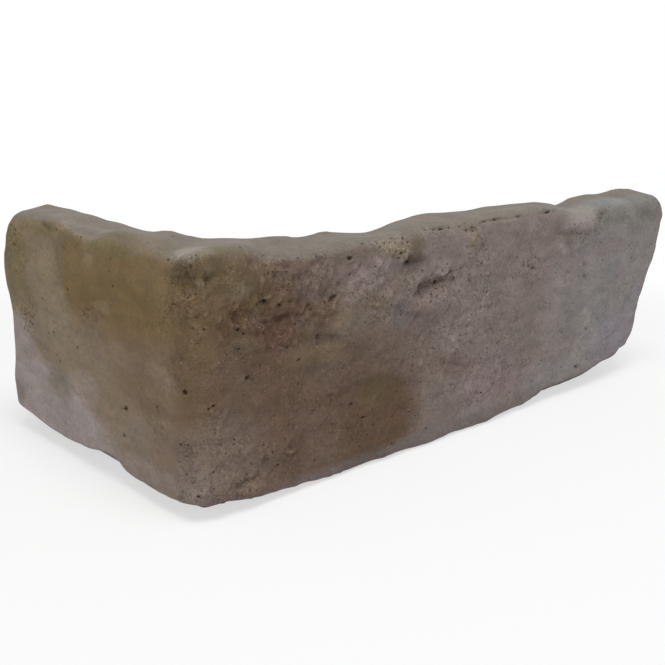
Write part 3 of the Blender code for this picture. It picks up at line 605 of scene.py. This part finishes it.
# The washes of pigment over the grey body, each laid over those before it. Each has a colour, the
# share of its patches' size over which their rims fade, and its patches:
# (leg, along the leg, height above the bed, half length, half height, slant in degrees, strength).
# A patch reaches a little round the arris beside it, and a wide one has the more ragged rim.
WIDE_PATCH = 5.5
PATCH_DEPTH = 8.0
BODY = pigment(117, 106, 100)
WASHES = (
    (pigment(126, 110, 90), 0.45, ((SHORT, 50, 33, 70, 50, 0, 1.0), (SHORT, 12, 34, 26, 44, 0, 1.0))),
    (pigment(95, 76, 62), 0.4, (
        (LONG, 28, 26, 47, 30, 0, 1.0), (LONG, 56, 14, 20, 19, 0, 1.0), (LONG, 16, 50, 28, 14, 0, 1.0),
    )),
    (pigment(125, 119, 117), 0.4, (
        (LONG, 186, 36, 34, 36, 0, 0.9), (LONG, 146, 30, 9, 22, 0, 0.6), (LONG, 150, 8, 22, 8, 0, 0.8),
    )),
    (pigment(132, 125, 120), 0.4, (
        (LONG, 157, 60.5, 11, 3.4, 3, 0.9), (LONG, 146, 50, 2, 5, 0, 0.2),
        (LONG, 157, 53, 5, 2, 0, 0.5), (LONG, 163, 25, 4, 5, -20, 0.6),
        (LONG, 160, 16, 3, 7, -25, 0.8), (LONG, 104, 8, 9, 3, 20, 0.5), (LONG, 144, 36, 4, 10, 0, 0.2),
    )),
    (pigment(126, 118, 127), 0.6, (
        (LONG, 184, 15, 18, 10, 15, 0.7), (LONG, 196, 26, 5, 8, 0, 0.4),
    )),
    (pigment(112, 113, 112), 0.45, (
        (LONG, 178, 42, 5, 6, 0, 0.6), (LONG, 172, 28, 6, 6, 0, 0.5), (LONG, 150, 30, 5, 8, 0, 0.3),
    )),
    (pigment(111, 111, 101), 0.5, ((LONG, 178, 60.5, 10, 3.4, 8, 0.6), (LONG, 193, 57, 8, 4, 0, 0.3))),
    (pigment(122, 107, 105), 0.5, ((LONG, 110, 13.5, 17, 6.5, 0, 0.9), (LONG, 112, 22, 12, 3, 0, 0.5))),
    # The short face: brown middle, pale lilac foot, ochre head and the blotches beyond it
    (pigment(113, 94, 74), 0.6, (
        (SHORT, 26, 37, 28, 6, 0, 0.8), (SHORT, 18, 29, 16, 6, 0, 0.8), (SHORT, 7, 20, 9, 16, 0, 0.6),
    )),
    (pigment(117, 101, 86), 0.5, ((SHORT, 14, 13, 18, 9, 0, 0.8),)),
    (pigment(133, 118, 101), 0.4, (
        (SHORT, 46, 31, 9, 7, 20, 0.6), (SHORT, 31, 35, 6, 3, 0, 0.4), (SHORT, 12, 34, 6, 3, 20, 0.4),
        (SHORT, 36, 15, 7, 5, 0, 0.7),
    )),
    (pigment(150, 140, 136), 0.3, (
        (SHORT, 66, 10, 36, 14, 12, 1.0), (SHORT, 87, 27, 9, 9, 0, 0.85), (SHORT, 50, 22, 7, 5, 0, 0.5),
    )),
    (pigment(136, 124, 116), 0.4, ((SHORT, 20, 7, 16, 4, 0, 0.8), (SHORT, 23, 16, 6, 5, 0, 0.3))),
    (pigment(130, 118, 100), 0.5, (
        (SHORT, 61, 38, 8, 12, -10, 0.7), (SHORT, 70, 36, 9, 6, 0, 0.6), (SHORT, 54, 27, 6, 4, 0, 0.4),
    )),
    (pigment(118, 109, 96), 0.45, (
        (SHORT, 61.5, 20.5, 6.5, 4.2, 0, 0.8), (SHORT, 76, 30, 8, 2.4, 8, 0.2),
    )),
    (pigment(112, 99, 88), 0.5, ((SHORT, 89, 12, 4, 3, 0, 0.6), (SHORT, 75, 34, 3, 1.5, 0, 0.6))),
    (pigment(117, 97, 66), 0.3, (
        (SHORT, 24, 52, 31, 11.5, 0, 1.0), (SHORT, 51, 52, 8, 12, -18, 1.0),
    )),
    (pigment(106, 86, 56), 0.5, ((SHORT, 34, 48, 27, 6.5, 0, 0.6),)),
    (pigment(117, 94, 66), 0.5, ((SHORT, 53, 60, 4, 2.5, 0, 0.4), (SHORT, 28, 42, 12, 3, 0, 0.5))),
    (pigment(112, 101, 68), 0.5, ((SHORT, 36, 61.5, 14, 2, 0, 0.6),)),
    (pigment(115, 102, 72), 0.4, (
        (SHORT, 86, 52, 8, 11, 0, 0.9), (SHORT, 72, 62.4, 13, 2.4, 0, 0.8),
        (SHORT, 61, 57, 2.4, 6, -20, 0.7), (SHORT, 80, 42, 7, 4, 0, 0.6),
    )),
    (pigment(100, 89, 66), 0.5, ((SHORT, 90, 44, 2.4, 3, 0, 0.4), (SHORT, 58, 60, 3, 3, 0, 0.4))),
    (pigment(128, 104, 78), 0.5, ((SHORT, 81, 60, 3, 2, 0, 0.4), (SHORT, 82, 55.5, 2.4, 1.6, 0, 0.4))),
    (pigment(132, 118, 94), 0.45, (
        (SHORT, 67, 52, 4, 7, -15, 0.9), (SHORT, 76, 56, 4, 5, 0, 0.6), (SHORT, 63, 45, 4, 5, -20, 0.6),
        (SHORT, 71, 45, 5, 4, 0, 0.4), (SHORT, 39, 46, 4, 1.6, 0, 0.5), (SHORT, 44.5, 57, 3, 1.8, -20, 0.5),
        (SHORT, 78, 48, 3, 3, 0, 0.5),
    )),
    (pigment(119, 106, 86), 0.4, ((SHORT, 18, 64.5, 12, 2.4, -3, 0.8),)),
    (pigment(142, 134, 125), 0.2, (
        (SHORT, 49, 66.6, 12.5, 4.4, 3, 0.9), (SHORT, 70, 66.6, 12, 2.2, -4, 0.7),
    )),
    # Painted shade in the two notches under the short face's top edge
    (pigment(96, 88, 62), 0.4, ((SHORT, 31.5, 66, 4.6, 0.9, 5, 0.9), (SHORT, 68, 63.2, 4, 0.8, 8, 0.6))),
    # The long face next to the corner: grey foot, lilac and olive blotches, and the dark red crags
    (pigment(112, 98, 88), 0.45, (
        (LONG, 8, 14, 12, 11, 0, 0.8), (LONG, 3, 9, 6, 6, 0, 0.4), (SHORT, 3, 10, 5, 9, 0, 0.5),
    )),
    (pigment(103, 86, 76), 0.45, (
        (LONG, 26, 8, 14, 6, 0, 0.5), (LONG, 42, 8, 6, 5, 0, 0.5), (LONG, 9, 4, 7, 4.5, 0, 0.7),
    )),
    (pigment(119, 107, 102), 0.45, ((LONG, 57, 53, 11, 8, 0, 0.9), (LONG, 62, 44, 9, 5, 0, 0.6))),
    (pigment(100, 88, 79), 0.5, ((LONG, 49, 59.5, 7, 2.6, 0, 0.8), (LONG, 60, 42.5, 7, 4, 0, 0.7))),
    (pigment(108, 97, 90), 0.5, ((LONG, 87, 15, 7, 10, 0, 0.6), (LONG, 88, 36, 6, 5, 0, 0.5))),
    (pigment(109, 102, 94), 0.5, ((LONG, 51, 41, 5, 4, 0, 0.5),)),
    (pigment(109, 105, 99), 0.5, ((LONG, 200, 61, 10, 4.5, 0, 0.8),)),
    (pigment(112, 103, 103), 0.5, ((LONG, 175, 49.5, 10, 3.4, 0, 0.7),)),
    (pigment(105, 91, 84), 0.45, (
        (LONG, 76, 34, 8, 12, 0, 0.7), (LONG, 38, 54, 8, 5, 0, 0.7), (LONG, 44, 30, 9, 5, 0, 0.5),
        (LONG, 56, 33, 7, 6, 0, 0.5), (LONG, 81, 45.4, 6, 1.6, 5, 0.5), (LONG, 64, 50, 3, 1.4, 10, 0.5),
        (LONG, 22, 57, 9, 4, 0, 0.15),
    )),
    (pigment(106, 88, 82), 0.45, ((LONG, 92, 22.5, 9, 3.4, -12, 0.7), (LONG, 73, 24, 3, 6, 20, 0.4))),
    (pigment(97, 79, 57), 0.45, (
        (SHORT, 2, 46, 7, 18, 0, 0.8), (LONG, 3, 51, 10, 11, 0, 0.9), (LONG, 12, 51, 12, 10, 0, 0.7),
    )),
    (pigment(85, 66, 50), 0.45, (
        (LONG, 60, 14, 14, 14, 0, 0.9), (LONG, 24, 45, 16, 6, -8, 0.8), (LONG, 50, 26, 10, 9, 0, 0.5),
        (LONG, 30, 10, 5, 6, 0, 0.5), (LONG, 16, 49, 7, 6, 0, 0.7), (LONG, 30, 30, 14, 8, 0, 0.4),
    )),
    (pigment(94, 71, 48), 0.5, ((LONG, 12, 50, 6, 4, 0, 0.5),)),
    (pigment(86, 62, 50), 0.5, ((LONG, 24, 44, 7, 4, 4, 0.7), (LONG, 28, 47, 6, 2.4, 4, 0.6))),
    (pigment(119, 108, 89), 0.5, (
        (LONG, 46.5, 43.6, 3.4, 3.8, -15, 0.6), (LONG, 12.4, 55, 4.6, 2, 5, 0.4),
        (LONG, 66, 51, 4, 2, 10, 0.2), (LONG, 55, 47, 4, 3, 0, 0.4),
        (LONG, 98, 58.5, 3.6, 1.8, 20, 0.85), (LONG, 65, 60, 7, 2.4, -12, 0.9), (LONG, 14, 42, 4, 2, 0, 0.3),
    )),
    (pigment(109, 93, 71), 0.6, ((LONG, 41, 35.6, 7, 2.6, -8, 0.5), (LONG, 32, 36, 6, 2.6, 0, 0.6))),
    (pigment(124, 112, 106), 0.5, ((LONG, 83, 43, 8, 2.6, 5, 0.35), (LONG, 91, 29, 7, 2, -35, 0.5))),
    (pigment(112, 98, 87), 0.5, ((LONG, 42, 40, 8, 3, -8, 0.4), (LONG, 34, 44, 4, 2.4, 0, 0.4))),
    (pigment(102, 96, 95), 0.5, ((LONG, 68, 41, 5, 4, 10, 0.6), (LONG, 79, 36, 7, 2, 20, 0.4))),
    (pigment(88, 75, 52), 0.6, (
        (LONG, 60, 21, 6, 4, 0, 0.6), (LONG, 18.5, 53, 3, 6, 0, 0.45), (LONG, 6, 60, 6, 4.2, 0, 0.9),
        (LONG, 167, 60, 5, 1.6, 45, 0.45), (LONG, 97, 62, 3, 1.2, 0, 0.4),
        (LONG, 58, 46.5, 3, 1.6, 0, 0.4), (LONG, 74, 60, 3, 2.4, -30, 0.6),
    )),
    # The darkest wash is painted shade, laid in the deepest hollows and under the ledges
    (pigment(72, 60, 50), 0.4, (
        (LONG, 82.5, 48.2, 7.5, 1.7, 9, 0.5), (LONG, 73.8, 56, 3.6, 1.9, -5, 0.6),
        (LONG, 66, 57.6, 4, 0.8, -15, 0.5), (LONG, 151, 55.6, 5, 0.7, -4, 0.15),
        (LONG, 13, 46.5, 2, 2.6, 0, 0.2),
    )),
    (pigment(113, 103, 88), 0.3, ((LONG, 30, 64.4, 23, 2.4, -1, 0.9),)),
    # A darker band along the foot of both faces is painted shade, where the rounded arris turns down to the
    # floor
    (pigment(105, 97, 95), 0.5, ((LONG, 66, 1.0, 92, 3.4, 1, 0.75), (SHORT, 52, 2, 58, 2.6, 1, 0.4))),
    (pigment(118, 110, 108), 0.5, ((SHORT, 4, 7, 5, 8, 0, 0.4),)),
    # Dark ochre just under the corner of the top: partly pigment, partly painted shade in the hollows there
    (pigment(74, 62, 42), 0.5, ((SHORT, 5, 60.5, 2.4, 3.6, 0, 0.8), (LONG, 1, 60, 3, 3.4, 0, 0.4))),
    (pigment(140, 132, 121), 0.4, (
        (SHORT, 5.5, 65.8, 4.5, 3.6, 0, 0.8), (LONG, -0.5, 66.4, 2.4, 2.6, 0, 0.4),
    )),
)

# The greys of the top and of the floated backs, the tints that blotch the coarse skin, the colour of rubbed
# high spots (also painted paler as a highlight), the painted shade in open pores and pits, and pale grains
TOP_GREY = pigment(117, 110, 101)
TOP_WASHES = (
    (pigment(129, 129, 125), 0.4, ((LONG, 180, 66, 40, 16, 0, 1.0),)),
    (pigment(104, 95, 83), 0.5, (
        (LONG, 34, 66, 18, 6, 0, 0.3), (SHORT, 37, 66, 12, 6, 0, 0.3), (LONG, 197, 66, 9, 8, 0, 0.3),
    )),
    (pigment(116, 104, 89), 0.4, ((SHORT, 18, 66, 12, 4, 0, 0.8),)),
    (pigment(102, 93, 70), 0.4, ((SHORT, 32, 66, 8, 6, 0, 0.6), (LONG, 8, 62, 10, 3, 0, 0.8))),
    (pigment(140, 132, 122), 0.3, (
        (SHORT, 50, 67, 14, 3, 0, 0.8), (LONG, 123, 66, 13, 5, 0, 0.3), (LONG, 159, 62, 9, 7, 0, 0.4),
    )),
    (pigment(148, 140, 129), 0.3, ((SHORT, 7, 66.4, 6.5, 4, 0, 0.9), (LONG, 5, 66.5, 5, 3, 0, 0.5))),
)
BACK_GREY = pigment(125, 118, 109)
BACK_BROWN = pigment(106, 96, 83)
OLIVE_TINT = pigment(100, 90, 66)
LILAC_TINT = pigment(116, 104, 104)
RUBBED = pigment(124, 111, 92)
PORE_SHADE = pigment(40, 33, 27)
SPECK = pigment(186, 176, 158)


def cover(softness, patches):
    """How strongly a wash of pigment covers a point: 1 inside its patches, fading out at their rims."""
    total = None
    for leg, along, height, half_length, half_height, slant, strength in patches:
        place = drifted if min(half_length, half_height) > WIDE_PATCH else settled
        ball = place.node("ShaderNodeTexGradient", {"gradient_type": "SPHERICAL"}, {0: place}, output=1)
        form = ball.socket.node.texture_mapping
        form.vector_type = "TEXTURE"
        if leg == LONG:
            form.translation = outer_corner + Vector((along, 0.0, height)) * MM
            form.rotation = (0.0, -math.radians(slant), 0.0)
            halves = Vector((half_length, PATCH_DEPTH, half_height))
        else:
            form.translation = outer_corner + Vector((0.0, along, height)) * MM
            form.rotation = (math.radians(slant), 0.0, 0.0)
            halves = Vector((PATCH_DEPTH, half_length, half_height))
        form.scale = halves * (1.0 + softness) * MM
        patch = ball.smooth(0.0, 2.0 * softness / (1.0 + softness)) * strength
        total = patch if total is None else total.larger(patch)
    return total


concrete = bpy.data.materials.new("pigmented_concrete")
concrete.use_nodes = True
tree = concrete.node_tree
shader = tree.nodes["Principled BSDF"]
place = Shade(tree).node("ShaderNodeTexCoord", output="Object")

# How the rims of wide and of narrow patches wander: (length of the waves, reach), in millimetres
WIDE_DRIFT = ((11.0, 10.0), (3.0, 5.0), (1.0, 0.5))
NARROW_DRIFT = ((4.0, 4.0), (1.2, 1.0))
drifted = place
for wave_length, wave_reach in WIDE_DRIFT:
    drifted = drifted.wander(wave_length, wave_reach)
settled = place
for wave_length, wave_reach in NARROW_DRIFT:
    settled = settled.wander(wave_length, wave_reach)


def painted(name):
    """An attribute of the skin."""
    return place.node("ShaderNodeAttribute", {"attribute_name": name}, {}, output="Fac")


coarse = painted("coarse")
porous = painted("porous")
cavity = painted("cavity")

# How much of each pigment and mark shows. Where there are two values, the first is for plain skin, and
# the second is what coarse skin adds.
THIN_WASH = 0.15
DAMP_BROWN = 0.7
TINTED = (0.02, 0.08)
RUBBED_SHARE = (0.1, 0.2)
HIGHLIGHT_PALER = 0.1
POROUS_PALER = 0.1
HOLLOW_SHADE = 0.28
SPECK_SHARE = 0.5
PORE_SHADE_SHARE = 0.88
PIT_SHADE_SHARE = 0.9


def rising(values, amount):
    """The first value, plus the second as far as an amount goes from 0 to 1."""
    least, added = values
    return least + added * amount


colour = place.node("ShaderNodeRGB")
colour.socket.default_value = BODY
uneven = 1.0 - THIN_WASH + THIN_WASH * place.grain(7.0, detail=4.0, roughness=0.6).smooth(0.3, 0.6)
for wash_colour, softness, patches in WASHES:
    colour = colour.mixed(wash_colour, cover(softness, patches) * uneven)
top_colour = place.node("ShaderNodeRGB")
top_colour.socket.default_value = TOP_GREY
for wash_colour, softness, patches in TOP_WASHES:
    top_colour = top_colour.mixed(wash_colour, cover(softness, patches))
colour = colour.mixed(top_colour, painted("top") * uneven)
back_colour = place.node("ShaderNodeRGB")
back_colour.socket.default_value = BACK_GREY
damp = place.stretched(STREAK).grain(25.0, detail=5.0, roughness=0.65).smooth(0.4, 0.62)
colour = colour.mixed(back_colour.mixed(BACK_BROWN, damp * DAMP_BROWN), painted("back"))
olive = place.grain(6.0, detail=3.0, roughness=0.6).smooth(0.55, 0.72)
colour = colour.mixed(OLIVE_TINT, olive * rising(TINTED, coarse))
lilac = place.moved((0.4, 0.0, 0.7)).grain(7.0, detail=3.0, roughness=0.6).smooth(0.55, 0.72)
colour = colour.mixed(LILAC_TINT, lilac * rising(TINTED, coarse))

# Calm patches of skin lie between gritty ones. Cloud, grit and sand are the coarse, middle and fine
# grain of the mix: the length of each is that of its patches in millimetres, and its contrast says how
# far it lightens and darkens the colour. Of two values, the second is what rough or gritty skin adds.
PATCHINESS = (0.3, 0.7)
GRITTINESS = (0.15, 0.6)
POROUS_GRITTINESS = 0.8
CLOUD_LENGTH, CLOUD_CONTRAST = 5.0, 0.8
GRIT_LENGTH, GRIT_CONTRAST = 1.2, (0.25, 1.0)
SAND_LENGTH, SAND_CONTRAST = 0.45, (0.35, 1.5)
TONE = 0.965
rough = coarse.smooth(0.0, 0.4)
gritty = place.moved((0.2, 0.6, 0.1)).grain(8.0, detail=3.0, roughness=0.6).smooth(0.42, 0.60)
gritty = (rising(PATCHINESS, gritty) * rising(GRITTINESS, rough)).larger(POROUS_GRITTINESS * porous)
cloud = place.stretched(STREAK).grain(CLOUD_LENGTH, detail=4.0, roughness=0.6)
grit = place.grain(GRIT_LENGTH, detail=2.0, roughness=0.5)
sand = place.grain(SAND_LENGTH, detail=1.0, roughness=0.5)
crumbled = place.wander(length=0.8, reach=0.7)
pinholes = crumbled.dots(spacing=2.4, share=0.45, radius=0.42)
wide_holes = crumbled.dots(spacing=7.0, share=0.5, radius=1.0)
small_holes = crumbled.dots(spacing=2.5, share=0.4, radius=0.45)
air_holes = wide_holes.larger(small_holes) * painted("back")
pores = crumbled.dots(spacing=1.2, share=0.5, radius=0.4) * gritty.smooth(0.15, 0.6)
sponge = crumbled.moved((0.1, 0.4, 0.2)).dots(spacing=1.3, share=0.7, radius=0.5) * porous
open_pores = pinholes.larger(pores).larger(sponge).larger(air_holes)
specks = crumbled.moved((0.3, 0.1, 0.2)).dots(spacing=1.4, share=0.35, radius=0.34) * gritty
tone = TONE + CLOUD_CONTRAST * (cloud - 0.5) + rising(GRIT_CONTRAST, gritty) * (grit - 0.5)
tone = tone + rising(SAND_CONTRAST, gritty) * (sand - 0.5)
# Raised spots take the colour of rubbed wear and are also painted paler as a highlight
raised_wear_and_highlight = cavity.smooth(-0.03, -0.35)
colour = colour.mixed(RUBBED, raised_wear_and_highlight * rising(RUBBED_SHARE, rough))
# Painted shade darkens the hollows, and a painted highlight lightens the raised spots
tone = tone * (1.0 - HOLLOW_SHADE * cavity.smooth(0.05, 0.5)) * (1.0 + HIGHLIGHT_PALER * raised_wear_and_highlight)
tone = tone * (1.0 + POROUS_PALER * porous)
colour = colour.stretched(tone.node("ShaderNodeCombineXYZ", {}, {0: tone, 1: tone, 2: tone}))
colour = colour.mixed(SPECK, specks * SPECK_SHARE)
# Open pores and air pits are painted near-black, as the shade inside them
colour = colour.mixed(PORE_SHADE, open_pores * PORE_SHADE_SHARE)
colour = colour.mixed(PORE_SHADE, painted("pit").smooth(0.38, 0.8) * PIT_SHADE_SHARE)
tree.links.new(colour.socket, shader.inputs["Base Color"])

# Dry concrete is matt, and its grain stands about as high as its sand. The heights of the three grains
# are shares of the bump's, on calm skin and as added by rough or gritty skin.
DRYNESS = 0.84
DRYNESS_CONTRAST = 0.25
SHEEN = 0.25
BUMP = 0.6
BUMP_STRENGTH = 0.7
GRIT_HEIGHT = (0.2, 0.7)
CLOUD_HEIGHT = (0.4, 0.8)
SAND_HEIGHT = (0.1, 0.35)
roughness = DRYNESS + DRYNESS_CONTRAST * (cloud - 0.5)
tree.links.new(roughness.socket, shader.inputs["Roughness"])
shader.inputs["Specular IOR Level"].default_value = SHEEN
ridges = rising(GRIT_HEIGHT, gritty) * grit + rising(CLOUD_HEIGHT, rough) * cloud
ridges = ridges + rising(SAND_HEIGHT, gritty) * sand - open_pores
bump = ridges.node(
    "ShaderNodeBump", {}, {"Height": ridges, "Strength": BUMP_STRENGTH, "Distance": BUMP * MM}
)
tree.links.new(bump.socket, shader.inputs["Normal"])
tile.data.materials.clear()
tile.data.materials.append(concrete)
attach(tile, "root")
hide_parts("corner_tile")

# The studio: a pale floor that fades to white away from the tile, a white world, and large soft
# lamps from above, from the front left and right, and weakly from behind.
FLOOR_COLOUR = (0.86, 0.86, 0.86, 1.0)
FLOOR_ROUGHNESS = 0.9
FLOOR_HALF = 3.0
FADE_STARTS = 0.15
FADE_ENDS = 0.30
GLOW_NEAR = 0.6

floor_mesh = bmesh.new()
bmesh.ops.create_grid(floor_mesh, x_segments=1, y_segments=1, size=FLOOR_HALF)
floor = bpy.data.objects.new("floor", bpy.data.meshes.new("floor"))
floor_mesh.to_mesh(floor.data)
floor_mesh.free()
bpy.context.scene.collection.objects.link(floor)
paper = bpy.data.materials.new("white_paper")
paper.use_nodes = True
tree = paper.node_tree
matt = tree.nodes["Principled BSDF"]
matt.inputs["Base Color"].default_value = FLOOR_COLOUR
matt.inputs["Roughness"].default_value = FLOOR_ROUGHNESS
spot = Shade(tree).node("ShaderNodeTexCoord", output="Object")
reach = spot.node("ShaderNodeVectorMath", {"operation": "LENGTH"}, {0: spot}, output=1)
glow = spot.node("ShaderNodeEmission", {}, {"Color": (1.0, 1.0, 1.0, 1.0), "Strength": 1.0})
seen = spot.node("ShaderNodeLightPath", output="Is Camera Ray")
mirrored = spot.node("ShaderNodeLightPath", output="Is Glossy Ray")
fade = (GLOW_NEAR + (1.0 - GLOW_NEAR) * reach.smooth(FADE_STARTS, FADE_ENDS)) * seen.larger(mirrored)
surface = Shade(tree, matt.outputs[0])
blend = spot.node("ShaderNodeMixShader", {}, {0: fade, 1: surface, 2: glow})
tree.links.new(blend.socket, tree.nodes["Material Output"].inputs["Surface"])
floor.data.materials.append(paper)

AMBIENT = 0.32
world = bpy.data.worlds.new("studio")
bpy.context.scene.world = world
world.use_nodes = True
tree = world.node_tree
sky = tree.nodes["Background"]
sky.inputs["Color"].default_value = (1.0, 1.0, 1.0, 1.0)
seen = Shade(tree).node("ShaderNodeLightPath", output="Is Camera Ray")
mirrored = Shade(tree).node("ShaderNodeLightPath", output="Is Glossy Ray")
strength = seen.larger(mirrored) * (1.0 - AMBIENT) + AMBIENT
tree.links.new(strength.socket, sky.inputs["Strength"])

# The lamps aim at the middle of the tile. Each has its place in metres, the side of its square in
# metres and its power in watts.
LAMPS_AIM = Vector((0.0, 0.0, 0.03))
LAMPS = (
    ("lamp_above", (-0.15, -0.25, 0.90), 0.5, 6.0),
    ("lamp_front_left", (-1.00, -0.40, 0.28), 0.7, 2.4),
    ("lamp_front_right", (0.30, -1.05, 0.30), 0.8, 2.4),
    ("lamp_behind", (0.55, 0.75, 0.20), 0.6, 1.2),
)
for name, stand, size, power in LAMPS:
    light = bpy.data.lights.new(name, "AREA")
    light.shape = "SQUARE"
    light.size = size
    light.energy = power
    lamp = bpy.data.objects.new(name, light)
    lamp.location = stand
    lamp.rotation_euler = (LAMPS_AIM - Vector(stand)).to_track_quat("-Z", "Y").to_euler()
    bpy.context.scene.collection.objects.link(lamp)

# The camera stands close in front of the outer corner and a little above the tile, as in the photo.
CAMERA_PLACE = outer_corner + Vector((-112.7, -162.1, 98.4)) * MM
CAMERA_AZIMUTH = 43.77
CAMERA_DOWN = 14.49
CAMERA_ROLL = 1.09
LENS = 49.67

lens = bpy.data.cameras.new("camera")
lens.lens = LENS
lens.sensor_width = 36.0
lens.clip_start = 0.01
camera = bpy.data.objects.new("camera", lens)
aim = Matrix.Rotation(-math.radians(CAMERA_AZIMUTH), 4, "Z")
aim = aim @ Matrix.Rotation(math.radians(90.0 - CAMERA_DOWN), 4, "X")
aim = aim @ Matrix.Rotation(math.radians(CAMERA_ROLL), 4, "Z")
camera.matrix_world = Matrix.Translation(CAMERA_PLACE) @ aim
bpy.context.scene.collection.objects.link(camera)
bpy.context.scene.camera = camera
bpy.context.scene.view_settings.view_transform = "Standard"
